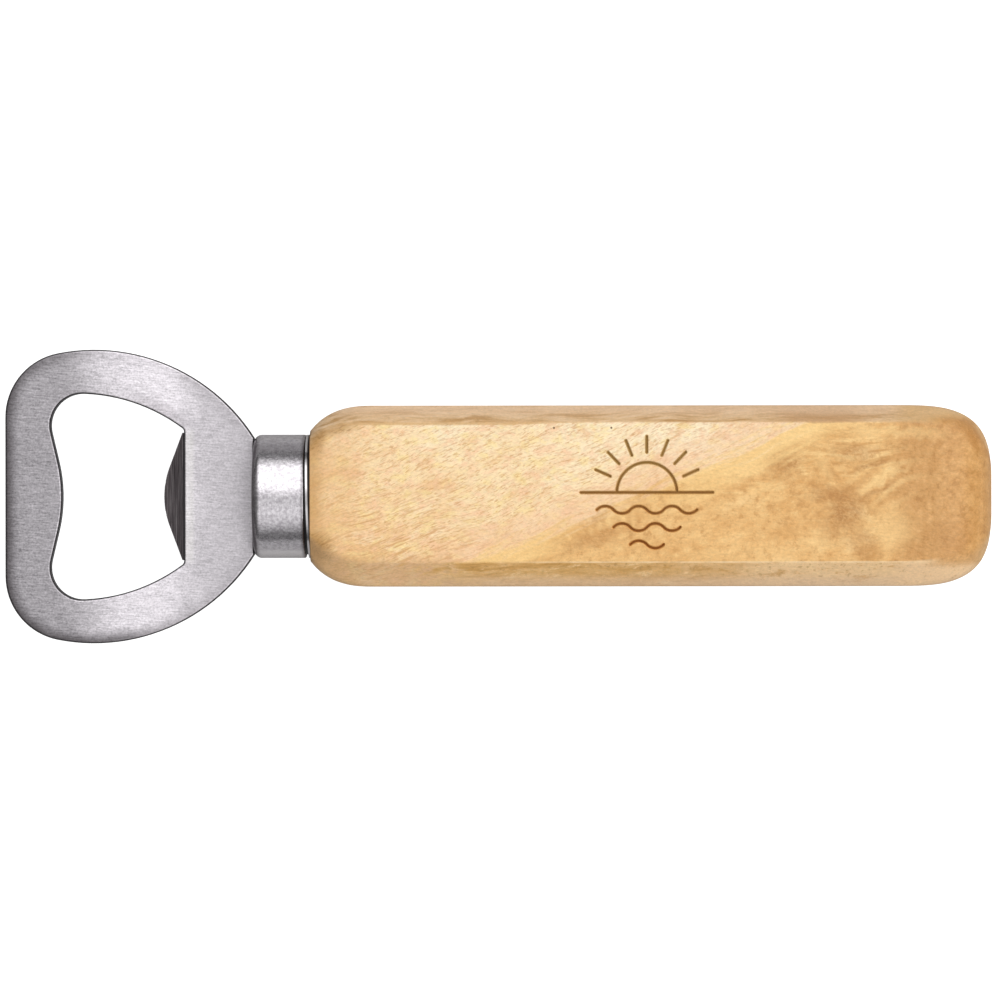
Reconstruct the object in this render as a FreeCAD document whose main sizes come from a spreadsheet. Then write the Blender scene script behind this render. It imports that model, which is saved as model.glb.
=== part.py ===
import FreeCAD, Part

import math
import os

import Sketcher

# A hand bottle opener: a stamped steel head with a bent cap lifter and a flat tang, a drawn steel
# ferrule, a loose backing washer and an eight-sided wooden handle with an engraved sunrise.
# Millimetres. +X runs from the head to the butt of the handle, +Z is up, and Y = 0 is the plane of
# symmetry. Each piece is modelled about the handle's axis and lifted by its Placement, so that the
# handle's lower facet lies on Z = 0 and the whole opener is centred on X = 0.

SIZES = [
    # alias, number, what it is
    ("overall_length", 150.0, "head's front edge to butt"),
    ("head_length", 37.9, "head's front edge to ferrule"),
    ("plate_thickness", 2.6, "stamped plate"),
    ("front_straight", 12.13, "half of the head's straight front edge"),
    ("corner_radius", 9.87, "head's front corners"),
    ("crown_radius", 28.75, "head's long side arcs"),
    ("crown_angle", 101.2, "direction of the corner's joint with the crown, degrees"),
    ("plate_edge_radius", 0.35, "rounded edges of the plate, and outside of the lifter's bend"),
    ("bump_reach", 29.22, "ferrule to the tip of the fulcrum bump in the mouth"),
    ("bump_radius", 23.15, "fulcrum bump"),
    ("bump_angle", 13.3, "half of the bump's arc, degrees"),
    ("mouth_corner_radius", 4.86, "mouth's front corners"),
    ("mouth_corner_y", 10.81, "centre of a front corner of the mouth"),
    ("mouth_side_radius", 27.12, "mouth's long side arcs"),
    ("mouth_side_angle", 87.6, "direction of the corner's joint with the side arc, degrees"),
    ("mouth_back_radius", 0.7, "mouth's back corners"),
    ("bend_reach", 10.7, "ferrule to the bend line of the cap lifter"),
    ("lifter_length", 4.95, "bend line to tip, in the lifter's own plane"),
    ("lifter_tip_radius", 8.7, "rounded tip of the lifter"),
    ("lifter_flank_angle", 30.0, "flank to bend line, degrees"),
    ("lifter_root", 9.7, "half width of the lifter at the bend"),
    ("lifter_bend", 45.0, "degrees down from the plate"),
    ("lifter_edge_radius", 0.25, "rounded free edges of the lifter"),
    ("tang_width", 9.0, "flat tang"),
    ("tang_length", 30.0, "ferrule face to end of tang"),
    ("tang_tip_chamfer", 1.5, "cut corners of the tang's end"),
    ("ferrule_length", 7.9, "drawn cup"),
    ("ferrule_radius", 9.4, "outside"),
    ("ferrule_wall", 0.5, "sheet thickness"),
    ("ferrule_nose_radius", 1.15, "outer corner of the closed end"),
    ("ferrule_rim_radius", 0.25, "outer corner of the open end"),
    ("slot_clearance", 0.1, "round the tang in the ferrule's slot"),
    ("washer_gap", 0.9, "ferrule to handle shoulder"),
    ("washer_thickness", 0.4, "backing washer"),
    ("washer_bore_radius", 9.0, "backing washer"),
    ("washer_tilt", 1.2, "degrees out of square, resting askew in its gap"),
    ("handle_thickness", 20.5, "between the upper and lower facets"),
    ("handle_half_width", 13.65, "between the side facets, halved"),
    ("facet_share", 0.77, "width of the top facet over the handle's width"),
    ("facet_shift", 0.55, "upper and lower facets off the middle, towards +Y, as hand sanding left them"),
    ("arris_radius", 0.8, "rounding of the long edges between facets"),
    ("front_round_length", 9.35, "shoulder to where the front rounding begins"),
    ("rear_round_length", 15.0, "butt to where the rear rounding begins"),
    ("front_width_travel", 0.79, "part of its superellipse that the width follows to the shoulder"),
    ("front_height_travel", 0.42, "the same for the height"),
    ("front_chamfer_growth", 0.05, "chamfers widen to the shoulder by this part of the half width"),
    ("front_shift_growth", 0.65, "added to the facets' shift at the shoulder"),
    ("rear_travel", 0.995, "part of its superellipse that the width follows to the butt"),
    ("rear_height_start", 0.33, "part of the rear rounding that the height stays full for"),
    ("front_arris_growth", 2.2, "added to the arris radius at the shoulder"),
    ("rear_arris_growth", 5.5, "added to the arris radius at the butt, before its limit"),
    ("tenon_radius", 8.85, "turned tenon inside the ferrule"),
    ("tenon_length", 7.75, "shoulder to front of tenon"),
    ("bore_radius", 5.0, "drilled for the tang"),
    ("bore_depth", 31.0, "front of tenon to bottom of bore"),
    ("motif_x", 50.6, "shoulder to centre of the engraving"),
    ("motif_y", 0.5, "engraving's centre off the axis"),
    ("stroke_width", 0.42, "engraved line"),
    ("stroke_depth", 0.35, "engraved line"),
    ("horizon_half", 9.9, "half of the engraved horizon line"),
    ("sun_radius", 4.5, "engraved half sun"),
    ("ray_inner", 6.0, "rays begin"),
    ("ray_outer", 8.4, "rays end"),
    ("wave_chord", 2.5, "one half wave"),
    ("wave_rise", 0.55, "height of a half wave's arc"),
    ("wave_pitch", 2.6, "between rows of waves"),
]
RAY_ANGLES = range(24, 157, 22)
WAVE_ROWS = [6, 4, 2]  # half waves in each row, from the horizon down
NODES = ["opener_head", "ferrule", "backing_washer", "tang_adhesive", "handle"]
FERRULE_FACE = "sizes.head_length - sizes.overall_length / 2"  # X of the ferrule's closed end
THROUGH = 40.0  # length of a cutting tool that has to pass right through
FRONT_WIDTH_POWER = 2.5  # superellipse powers of the rounded ends
REAR_WIDTH_POWER = 3.25
HEIGHT_POWER = 2.4
CHAMFER_POWER = 1.5  # how late the front chamfers change and the rear arrises soften
REAR_ARRIS_POWER = 1.5
ARRIS_LIMIT = 1.3  # largest arris radius over the chamfer beside it
FRONT_SECTIONS = 6  # lofted spans of each rounded end
REAR_SECTIONS = 10

doc = FreeCAD.newDocument("bottle_opener")
sheet = doc.addObject("Spreadsheet::Sheet", "sizes")


def fill_sheet():
    """The driving dimensions, one row each: what it is, then the number under its alias."""
    for row, (alias, number, what) in enumerate(SIZES, 1):
        sheet.set(f"A{row}", what)
        sheet.set(f"B{row}", str(number))
        sheet.setAlias(f"B{row}", alias)
    doc.recompute()


def size(alias):
    return float(sheet.get(alias))


def point(x, y, z=0.0):
    return FreeCAD.Vector(x, y, z)


def on_circle(centre, radius, degrees):
    turn = math.radians(degrees)
    return centre + point(radius * math.cos(turn), radius * math.sin(turn))


def arc(centre, radius, start, end):
    """Three points of an arc about centre, from one direction to the other, in degrees."""
    angles = (start, (start + end) / 2, end)
    return [on_circle(centre, radius, degrees) for degrees in angles]


def line(start, end):
    return [start, end]


def mirrored(edges):
    """The edges reflected in the sketch's X axis, in reverse order so that the chain goes on."""
    return [[point(p.x, -p.y) for p in reversed(edge)] for edge in reversed(edges)]


def drawn(edge):
    """Sketch geometry for two points of a line or three points of an arc, always anticlockwise."""
    if len(edge) == 2:
        return Part.LineSegment(*edge)
    turn = (edge[1] - edge[0]).cross(edge[2] - edge[1]).z
    return Part.Arc(*(edge if turn > 0 else reversed(edge)))


def place(node, along, turn=None):
    """Sets a sub-part at its place along the axis, with the axis lifted by half the thickness."""
    if turn:
        node.Placement.Rotation = turn
    node.setExpression("Placement.Base.x", along)
    node.setExpression("Placement.Base.z", "sizes.handle_thickness / 2")


def new_body(name):
    body = doc.addObject("PartDesign::Body", name)
    body.Label = name
    return body


def closed_sketch(body, name, role, edges, radii=None, offset=None):
    """A sketch on one of the body's origin planes. radii binds an edge's radius to a cell."""
    sketch = body.newObject("Sketcher::SketchObject", name)
    plane = next(item for item in body.Origin.OriginFeatures if item.Role == role)
    sketch.AttachmentSupport = [(plane, "")]
    sketch.MapMode = "FlatFace"
    sketch.AttachmentOffset = offset or FreeCAD.Placement()
    sketch.addGeometry([drawn(edge) for edge in edges], False)
    for index in range(len(edges)):
        join(sketch, index, (index + 1) % len(edges))
    for index, alias in (radii or {}).items():
        number = sketch.addConstraint(Sketcher.Constraint("Radius", index, size(alias)))
        sketch.setExpression(f"Constraints[{number}]", f"sizes.{alias}")
    return sketch


def join(sketch, first, second):
    """Ties the ends of two edges that meet."""
    pairs = [(a, b) for a in (1, 2) for b in (1, 2)]
    gap = {p: (sketch.getPoint(first, p[0]) - sketch.getPoint(second, p[1])).Length for p in pairs}
    nearest = min(pairs, key=gap.get)
    sketch.addConstraint(Sketcher.Constraint("Coincident", first, nearest[0], second, nearest[1]))


def pad(body, name, sketch, length, midplane=False):
    feature = body.newObject("PartDesign::Pad", name)
    feature.Profile = sketch
    feature.setExpression("Length", length)
    feature.Midplane = midplane
    doc.recompute()
    return feature


def pocket_through(body, name, sketch):
    """Cuts right through on both sides of the sketch, and makes sure that it cut something."""
    before = body.Shape.Volume
    feature = body.newObject("PartDesign::Pocket", name)
    feature.Profile = sketch
    feature.Length = THROUGH
    feature.Midplane = True
    doc.recompute()
    if body.Shape.Volume >= before:
        raise RuntimeError(f"{name} cut nothing")
    return feature


def turned(body, name, edges, radii=None):
    """A revolution about the X axis of a closed outline drawn in the XZ plane."""
    sketch = closed_sketch(body, f"{name}_section", "XZ_Plane", edges, radii)
    feature = body.newObject("PartDesign::Revolution", name)
    feature.Profile = sketch
    feature.ReferenceAxis = (sketch, ["H_Axis"])
    feature.Angle = 360.0
    doc.recompute()
    return feature


def fillet(body, name, base, edges, alias):
    feature = body.newObject("PartDesign::Fillet", name)
    feature.Base = (base, edges)
    feature.setExpression("Radius", f"sizes.{alias}")
    doc.recompute()
    return feature


# ---------------------------------------------------------------- opener head


def head_outline():
    """Plate outline with X = 0 at the ferrule: front edge, corner and crown, then their mirrors."""
    corner = point(size("corner_radius") - size("head_length"), size("front_straight"))
    joint = size("crown_angle")
    reach = size("corner_radius") - size("crown_radius")
    crown = on_circle(corner, reach, joint)
    end = math.degrees(math.acos(-crown.x / size("crown_radius")))
    upper = [
        arc(corner, size("corner_radius"), 180, joint),
        arc(crown, size("crown_radius"), joint, end),
    ]
    back_top = on_circle(crown, size("crown_radius"), end)
    back = line(back_top, point(back_top.x, -back_top.y))
    front = line(point(-size("head_length"), -corner.y), point(-size("head_length"), corner.y))
    radii = {0: "corner_radius", 1: "crown_radius", 3: "crown_radius", 4: "corner_radius"}
    return upper + [back] + mirrored(upper) + [front], radii


def mouth_outline():
    """The cap mouth: a convex bump, straight flanks, front corners, long arcs and the bend line."""
    tilt = size("bump_angle")
    bump = point(-size("bump_reach") - size("bump_radius"), 0)
    bump_end = on_circle(bump, size("bump_radius"), tilt)
    round_corner = size("mouth_corner_radius")
    rise = size("mouth_corner_y") - round_corner * math.sin(math.radians(tilt)) - bump_end.y
    flank_end = point(bump_end.x - rise * math.tan(math.radians(tilt)), bump_end.y + rise)
    corner = on_circle(flank_end, round_corner, tilt)
    joint = size("mouth_side_angle")
    side_radius = size("mouth_side_radius")
    side = on_circle(corner, round_corner - side_radius, joint)
    small = size("mouth_back_radius")
    back_x = -size("bend_reach")
    relief_x = back_x - small
    relief_drop = math.acos((relief_x - side.x) / (side_radius - small))
    relief = point(relief_x, side.y + (side_radius - small) * math.sin(relief_drop))
    side_end = math.degrees(relief_drop)
    upper = [
        line(bump_end, flank_end),
        arc(corner, round_corner, 180 + tilt, joint),
        arc(side, side_radius, joint, side_end),
        arc(relief, small, side_end, 0),
    ]
    back = line(point(back_x, relief.y), point(back_x, -relief.y))
    front = arc(bump, size("bump_radius"), -tilt, tilt)
    names = {1: "mouth_corner_radius", 2: "mouth_side_radius", 3: "mouth_back_radius"}
    radii = {0: "bump_radius"}
    for index, alias in names.items():
        radii[index + 1] = alias
        radii[10 - index - 1] = alias
    return [front] + upper + [back] + mirrored(upper), radii


def lifter_outline():
    """The cap lifter in its own plane: X = 0 is the bend line and the tip points to -X."""
    slope = size("lifter_flank_angle")
    radius = size("lifter_tip_radius")
    centre = point(radius - size("lifter_length"), 0)
    flank_top = on_circle(centre, radius, 180 - slope)
    drop = (size("lifter_root") - flank_top.y) * math.tan(math.radians(slope))
    shoulder = point(flank_top.x + drop, size("lifter_root"))
    root = point(0, size("lifter_root"))
    upper = [line(root, shoulder), line(shoulder, flank_top)]
    tip = arc(centre, radius, 180 - slope, 180 + slope)
    back = line(point(0, -root.y), root)
    return upper + [tip] + mirrored(upper) + [back], {2: "lifter_tip_radius"}


def tang_outline():
    """The flat tang: it starts inside the plate and ends in a tip with cut corners."""
    half = size("tang_width") / 2
    tip = size("tang_length")
    cut = size("tang_tip_chamfer")
    root = point(-1.0, half)
    upper = [line(root, point(tip - cut, half)), line(point(tip - cut, half), point(tip, half - cut))]
    end = line(point(tip, half - cut), point(tip, cut - half))
    return upper + [end] + mirrored(upper) + [line(point(root.x, -half), root)]


def edge_names(shape, wanted):
    return [f"Edge{number}" for number, edge in enumerate(shape.Edges, 1) if wanted(edge)]


def is_rim(edge):
    """True for the edges that lie in the plate's upper or lower face."""
    half = size("plate_thickness") / 2
    return all(abs(abs(corner.Z) - half) < 1e-6 for corner in edge.Vertexes)


def lifter_frame():
    """Where the lifter's sketch lies: its plane touches the rounding of the plate's edge."""
    bend = math.radians(size("lifter_bend"))
    radius = size("plate_edge_radius")
    half = size("plate_thickness") / 2
    x = radius * (1 - math.sin(bend)) - size("bend_reach")
    z = half - radius * (1 - math.cos(bend))
    turn = FreeCAD.Rotation(point(0, 1, 0), -size("lifter_bend"))
    return FreeCAD.Placement(point(x, 0, z), turn)


def is_lifter_outline(edge):
    """True for the flanks and the tip, in the lifter's upper and lower faces."""
    into_frame = lifter_frame().inverse()
    corners = [into_frame.multVec(corner.Point) for corner in edge.Vertexes]
    thickness = size("plate_thickness")
    in_face = any(all(abs(c.z - level) < 1e-4 for c in corners) for level in (0, -thickness))
    middle = into_frame.multVec(edge.CenterOfMass)
    across = all(abs(c.x - middle.x) < 1e-4 for c in corners)
    at_root = all(abs(c.y) > size("lifter_root") - 1e-4 for c in corners)
    return in_face and not across and not at_root


def make_head():
    body = new_body("opener_head")
    outline, radii = head_outline()
    sketch = closed_sketch(body, "plate_outline", "XY_Plane", outline, radii)
    pad(body, "plate", sketch, "sizes.plate_thickness", True)
    outline, radii = mouth_outline()
    sketch = closed_sketch(body, "mouth_outline", "XY_Plane", outline, radii)
    mouth = pocket_through(body, "mouth", sketch)
    fillet(body, "plate_edges", mouth, edge_names(mouth.Shape, is_rim), "plate_edge_radius")
    sketch = closed_sketch(body, "tang_outline", "XY_Plane", tang_outline())
    pad(body, "tang", sketch, "sizes.plate_thickness", True)
    outline, radii = lifter_outline()
    sketch = closed_sketch(body, "lifter_outline", "XY_Plane", outline, radii, lifter_frame())
    lifter = pad(body, "lifter", sketch, "sizes.plate_thickness")
    lifter.Reversed = True
    doc.recompute()
    free_edges = edge_names(lifter.Shape, is_lifter_outline)
    fillet(body, "lifter_edges", lifter, free_edges, "lifter_edge_radius")
    place(body, FERRULE_FACE)
    return body


# ---------------------------------------------------------------- ferrule and washer


def make_ferrule():
    """A drawn cup, open towards the handle, with a slot for the tang in its closed end."""
    body = new_body("ferrule")
    outer = size("ferrule_radius")
    inner = outer - size("ferrule_wall")
    length = size("ferrule_length")
    nose = size("ferrule_nose_radius")
    rim = size("ferrule_rim_radius")
    wall = size("ferrule_wall")
    inner_nose = nose - wall
    edges = [
        line(point(0, 0), point(0, outer - nose)),
        arc(point(nose, outer - nose), nose, 180, 90),
        line(point(nose, outer), point(length - rim, outer)),
        arc(point(length - rim, outer - rim), rim, 90, 0),
        line(point(length, outer - rim), point(length, inner)),
        line(point(length, inner), point(wall + inner_nose, inner)),
        arc(point(wall + inner_nose, inner - inner_nose), inner_nose, 90, 180),
        line(point(wall, inner - inner_nose), point(wall, 0)),
        line(point(wall, 0), point(0, 0)),
    ]
    turned(body, "cup", edges, {1: "ferrule_nose_radius", 3: "ferrule_rim_radius"})
    half_width = size("tang_width") / 2 + size("slot_clearance")
    half_height = size("plate_thickness") / 2 + size("slot_clearance")
    slot = rectangle(half_width, half_height)
    sketch = closed_sketch(body, "slot_outline", "YZ_Plane", slot)
    pocket_through(body, "slot", sketch)
    place(body, FERRULE_FACE)
    return body


def rectangle(half_width, half_height):
    corners = [
        point(-half_width, -half_height),
        point(half_width, -half_height),
        point(half_width, half_height),
        point(-half_width, half_height),
    ]
    return loop(corners)


def loop(corners):
    """The closed polygon through the corners."""
    return [line(corner, corners[index - len(corners) + 1]) for index, corner in enumerate(corners)]


def make_washer():
    """The loose ring between ferrule and shoulder. It turns about its own middle to lie askew."""
    body = new_body("backing_washer")
    half = size("washer_thickness") / 2
    inner = size("washer_bore_radius")
    outer = size("ferrule_radius")
    corners = [point(-half, inner), point(-half, outer), point(half, outer), point(half, inner)]
    turned(body, "ring", loop(corners))
    askew = FreeCAD.Rotation(point(0, 0, 1), size("washer_tilt"))
    place(body, FERRULE_FACE + " + sizes.ferrule_length + sizes.washer_gap / 2", askew)
    return body


def make_adhesive():
    """Cured adhesive that fills the bore round the tang."""
    body = new_body("tang_adhesive")
    front = size("washer_gap") + size("ferrule_length") - size("tenon_length")
    back = front + size("bore_depth")
    radius = size("bore_radius")
    corners = [point(front, 0), point(front, radius), point(back, radius), point(back, 0)]
    turned(body, "plug", loop(corners))
    sketch = closed_sketch(body, "tang_print", "XY_Plane", tang_outline())
    before = body.Shape.Volume
    pocket = body.newObject("PartDesign::Pocket", "tang_room")
    pocket.Profile = sketch
    pocket.setExpression("Length", "sizes.plate_thickness")
    pocket.Midplane = True
    doc.recompute()
    if body.Shape.Volume >= before:
        raise RuntimeError("the tang's room cut nothing")
    place(body, FERRULE_FACE)
    return body


# ---------------------------------------------------------------- handle


def fade(along, power):
    """1 at along = 0, falling to 0 at along = 1 on a superellipse."""
    return max(0.0, 1.0 - max(0.0, along) ** power) ** (1.0 / power)


def eight_sided(x, half_width, half_height, chamfer, shift, radius):
    """A closed section across the handle: four facets, four chamfers and rounded corners. shift
    moves the upper and lower facets towards +Y."""
    corners = []
    for side_y, side_z in ((1, 1), (-1, 1), (-1, -1), (1, -1)):
        pair = [
            point(x, side_y * half_width, side_z * (half_height - chamfer)),
            point(x, side_y * (half_width - chamfer) + shift, side_z * half_height),
        ]
        corners += pair if side_y * side_z > 0 else pair[::-1]
    bends = []
    for index, corner in enumerate(corners):
        before = (corners[index - 1] - corner).normalize()
        after = (corners[(index + 1) % 8] - corner).normalize()
        half_turn = (math.pi - before.getAngle(after)) / 2
        inward = (before + after).normalize()
        setback = radius * math.tan(half_turn)
        middle = corner + inward * radius * (1 / math.cos(half_turn) - 1)
        bends.append((corner + before * setback, middle, corner + after * setback))
    edges = []
    for index, (start, middle, end) in enumerate(bends):
        edges.append(Part.Arc(start, middle, end).toShape())
        edges.append(Part.LineSegment(end, bends[(index + 1) % 8][0]).toShape())
    return Part.Wire(edges)


def front_section(share):
    """Section of the rounded front: share is 0 where the rounding begins and 1 at the shoulder."""
    width = size("handle_half_width") * fade(share * size("front_width_travel"), FRONT_WIDTH_POWER)
    height = size("handle_thickness") / 2 * fade(share * size("front_height_travel"), HEIGHT_POWER)
    widened = size("front_chamfer_growth") * share**CHAMFER_POWER
    chamfer = width * (1 - size("facet_share") + widened)
    shift = size("facet_shift") + size("front_shift_growth") * share**CHAMFER_POWER
    radius = size("arris_radius") + size("front_arris_growth") * share
    x = size("front_round_length") * (1 - share)
    return eight_sided(x, width, height, chamfer, shift, radius)


def rear_section(share):
    """Section of the rounded butt: share is 0 where the rounding begins and 1 at the end."""
    along = share * size("rear_travel")
    width = size("handle_half_width") * fade(along, REAR_WIDTH_POWER)
    level = size("rear_height_start")
    height = size("handle_thickness") / 2 * fade((along - level) / (1 - level), HEIGHT_POWER)
    chamfer = width * (1 - size("facet_share"))
    shift = size("facet_shift") * width / size("handle_half_width")
    softened = size("arris_radius") + size("rear_arris_growth") * share**REAR_ARRIS_POWER
    x = handle_length() - size("rear_round_length") * (1 - share)
    return eight_sided(x, width, height, chamfer, shift, min(softened, ARRIS_LIMIT * chamfer))


def handle_length():
    """Shoulder to butt."""
    taken = size("head_length") + size("ferrule_length") + size("washer_gap")
    return size("overall_length") - taken


def make_blank():
    """The eight-sided bar with its two rounded ends. The shoulder is at X = 0."""
    shares = [1 - step / FRONT_SECTIONS for step in range(FRONT_SECTIONS + 1)]
    front = Part.makeLoft([front_section(share) for share in shares], True, False, False, 3)
    straight = handle_length() - size("front_round_length") - size("rear_round_length")
    middle = Part.Face(front_section(0)).extrude(point(straight, 0))
    turns = [math.pi / 2 * step / REAR_SECTIONS for step in range(REAR_SECTIONS + 1)]
    rear = Part.makeLoft([rear_section(math.sin(turn)) for turn in turns], True, False, False, 3)
    blank = doc.addObject("Part::Feature", "handle_blank")
    blank.Shape = front.fuse([middle, rear])
    return blank


def cylinder(name, radius, length, start, direction=point(1, 0, 0)):
    """A cylinder whose radius and length are bound to the sheet."""
    item = doc.addObject("Part::Cylinder", name)
    item.setExpression("Radius", radius)
    item.setExpression("Height", length)
    item.Placement = FreeCAD.Placement(start, FreeCAD.Rotation(point(0, 0, 1), direction))
    return item


def cut(name, base, tool):
    item = doc.addObject("Part::Cut", name)
    item.Base = base
    item.Tool = tool
    return item


def straight_stroke(name, start, end):
    """A groove between two points of the motif, with the tool's top just above the facet."""
    run = end - start
    item = doc.addObject("Part::Box", name)
    item.Length = run.Length
    item.setExpression("Width", "sizes.stroke_width")
    item.setExpression("Height", "2 * sizes.stroke_depth")
    turn = FreeCAD.Rotation(point(1, 0, 0), run)
    shift = turn.multVec(point(0, -size("stroke_width") / 2))
    item.Placement = FreeCAD.Placement(motif_origin() + start + shift, turn)
    return item


def arc_stroke(name, centre, radius, start, sweep):
    """A groove along an arc of the motif: a slice of disc less the slice inside it."""
    slices = []
    for part, side in (("outer", "+"), ("inner", "-")):
        item = doc.addObject("Part::Cylinder", f"{name}_{part}")
        item.setExpression("Radius", f"{radius} {side} sizes.stroke_width / 2")
        item.setExpression("Height", "2 * sizes.stroke_depth")
        item.Angle = sweep
        turn = FreeCAD.Rotation(point(0, 0, 1), start)
        item.Placement = FreeCAD.Placement(motif_origin() + centre, turn)
        slices.append(item)
    return cut(name, *slices)


def motif_origin():
    """Where the motif's own origin lies, one stroke depth below the top facet."""
    depth = size("handle_thickness") / 2 - size("stroke_depth")
    return point(size("motif_x"), size("motif_y"), depth)


def make_motif():
    """Sunrise over three rows of waves, as one set of cutting tools."""
    reach = size("horizon_half")
    strokes = [straight_stroke("horizon", point(-reach, 0), point(reach, 0))]
    strokes.append(arc_stroke("sun", point(0, 0), size("sun_radius"), 0, 180))
    for number, angle in enumerate(RAY_ANGLES, 1):
        inner = on_circle(point(0, 0), size("ray_inner"), angle)
        outer = on_circle(point(0, 0), size("ray_outer"), angle)
        strokes.append(straight_stroke(f"ray_{number}", inner, outer))
    chord = size("wave_chord")
    rise = size("wave_rise")
    radius = (chord**2 / 4 + rise**2) / (2 * rise)
    half_sweep = math.degrees(math.asin(chord / 2 / radius))
    for row, count in enumerate(WAVE_ROWS, 1):
        for step in range(count):
            crest = step % 2 == 0
            x = chord * (step + 0.5 - count / 2)
            y = -size("wave_pitch") * row + (rise - radius if crest else radius - rise)
            start = (90 if crest else 270) - half_sweep
            name = f"wave_{row}_{step + 1}"
            strokes.append(arc_stroke(name, point(x, y), radius, start, 2 * half_sweep))
    motif = doc.addObject("Part::MultiFuse", "motif")
    motif.Shapes = strokes
    return motif


def make_handle():
    """Blank plus tenon, less the tang's bore and the engraved motif."""
    tenon_front = point(-size("tenon_length"), 0)
    tenon_height = "sizes.tenon_length + sizes.front_round_length"
    tenon = cylinder("tenon", "sizes.tenon_radius", tenon_height, tenon_front)
    turned_blank = doc.addObject("Part::Fuse", "turned_blank")
    turned_blank.Base = make_blank()
    turned_blank.Tool = tenon
    bore = cylinder("tang_bore", "sizes.bore_radius", "sizes.bore_depth", tenon_front)
    drilled = cut("drilled_blank", turned_blank, bore)
    handle = cut("handle", drilled, make_motif())
    handle.Label = "handle"
    place(handle, FERRULE_FACE + " + sizes.ferrule_length + sizes.washer_gap")
    return handle


def check_and_write():
    """Stops on any failed object or bad shape, then writes one STEP file for each sub-part."""
    doc.recompute()
    failed = [item.Name for item in doc.Objects if {"Invalid", "Error"} & set(item.State)]
    if failed:
        raise RuntimeError(f"these objects failed: {failed}")
    os.makedirs("parts", exist_ok=True)
    for name in NODES:
        node = doc.getObjectsByLabel(name)[0]
        shape = node.Shape
        if shape.isNull() or not shape.isValid():
            raise RuntimeError(f"{name} has no valid shape")
        box = shape.BoundBox
        print(
            f"{name}: {len(shape.Solids)} solid, {shape.Volume:.1f} mm3,"
            f" X {box.XMin:.2f} to {box.XMax:.2f}, Y {box.YMin:.2f} to {box.YMax:.2f},"
            f" Z {box.ZMin:.2f} to {box.ZMax:.2f}"
        )
        shape.exportStep(os.path.join("parts", f"{name}.step"))


fill_sheet()
make_head()
make_ferrule()
make_washer()
make_adhesive()
make_handle()
check_and_write()
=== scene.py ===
import math

import bpy
import numpy as np
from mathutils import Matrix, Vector


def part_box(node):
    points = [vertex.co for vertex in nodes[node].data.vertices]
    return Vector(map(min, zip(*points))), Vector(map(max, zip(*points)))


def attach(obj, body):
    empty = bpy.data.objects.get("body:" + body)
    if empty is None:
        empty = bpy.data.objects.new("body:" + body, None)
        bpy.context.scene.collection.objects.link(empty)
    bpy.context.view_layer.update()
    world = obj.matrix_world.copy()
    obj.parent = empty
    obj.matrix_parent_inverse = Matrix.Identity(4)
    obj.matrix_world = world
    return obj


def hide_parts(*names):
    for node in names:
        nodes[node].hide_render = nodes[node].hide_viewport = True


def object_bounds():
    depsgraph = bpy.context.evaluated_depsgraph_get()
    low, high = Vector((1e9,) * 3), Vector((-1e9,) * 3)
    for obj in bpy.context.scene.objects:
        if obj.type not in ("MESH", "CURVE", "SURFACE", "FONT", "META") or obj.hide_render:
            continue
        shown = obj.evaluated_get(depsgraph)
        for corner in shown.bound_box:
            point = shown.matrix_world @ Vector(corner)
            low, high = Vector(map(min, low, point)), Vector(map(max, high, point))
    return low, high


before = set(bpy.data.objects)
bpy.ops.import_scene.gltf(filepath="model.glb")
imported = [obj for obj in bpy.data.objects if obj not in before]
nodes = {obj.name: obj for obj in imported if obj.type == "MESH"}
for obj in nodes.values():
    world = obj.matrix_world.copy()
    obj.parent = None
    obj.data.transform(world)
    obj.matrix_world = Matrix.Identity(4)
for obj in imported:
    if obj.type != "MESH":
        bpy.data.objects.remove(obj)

# Looks for a hand bottle opener: brushed steel head, drawn steel ferrule, bright washer and an oiled
# eight-sided handle with a burnt sunrise. The script works in millimetres, and MM turns them into
# metres. +X runs from the head to the butt, +Y across and +Z up through the engraved facet.

MM = 0.001
cad_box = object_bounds()


# ---------------------------------------------------------------- places, from the frame


def box_mm(node):
    low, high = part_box(node)
    return low / MM, high / MM


head_low = box_mm("opener_head")[0]
ferrule_low, ferrule_high = box_mm("ferrule")
handle_low, handle_high = box_mm("handle")
washer_low, washer_high = box_mm("backing_washer")
AXIS_Z = (handle_low.z + handle_high.z) / 2
PLATE_HALF = 1.3  # half of the stamped plate's thickness
PLATE_TOP = AXIS_Z + PLATE_HALF
CORNER_RADIUS = 9.87  # head's front corners, their centres' Y, and the long side arcs
CORNER_Y = 12.13
CROWN_RADIUS = 28.75
CROWN_ANGLE = 101.2
BEND_X = ferrule_low.x - 10.7  # the lifter's bend line
LIFTER_REACH = 5.3  # how far forward of its bend the lifter shows from above, and its half width
LIFTER_HALF = 9.9
WASHER_X = (washer_low.x + washer_high.x) / 2
WASHER_LEAN = math.tan(math.radians(1.2))

TENON_LENGTH = 7.75
TENON_RADIUS = 8.85
BORE_RADIUS = 5.0
BORE_DEPTH = 31.0
SHOULDER_X = handle_low.x + TENON_LENGTH
BUTT_X = handle_high.x
HALF_WIDTH = (handle_high.y - handle_low.y) / 2
HALF_THICKNESS = (handle_high.z - handle_low.z) / 2
FACET_SHARE = 0.77  # top facet's width over the handle's width
FACET_SHIFT = 0.55  # upper and lower facets off the middle, towards +Y
ARRIS_RADIUS = 0.8

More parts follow.
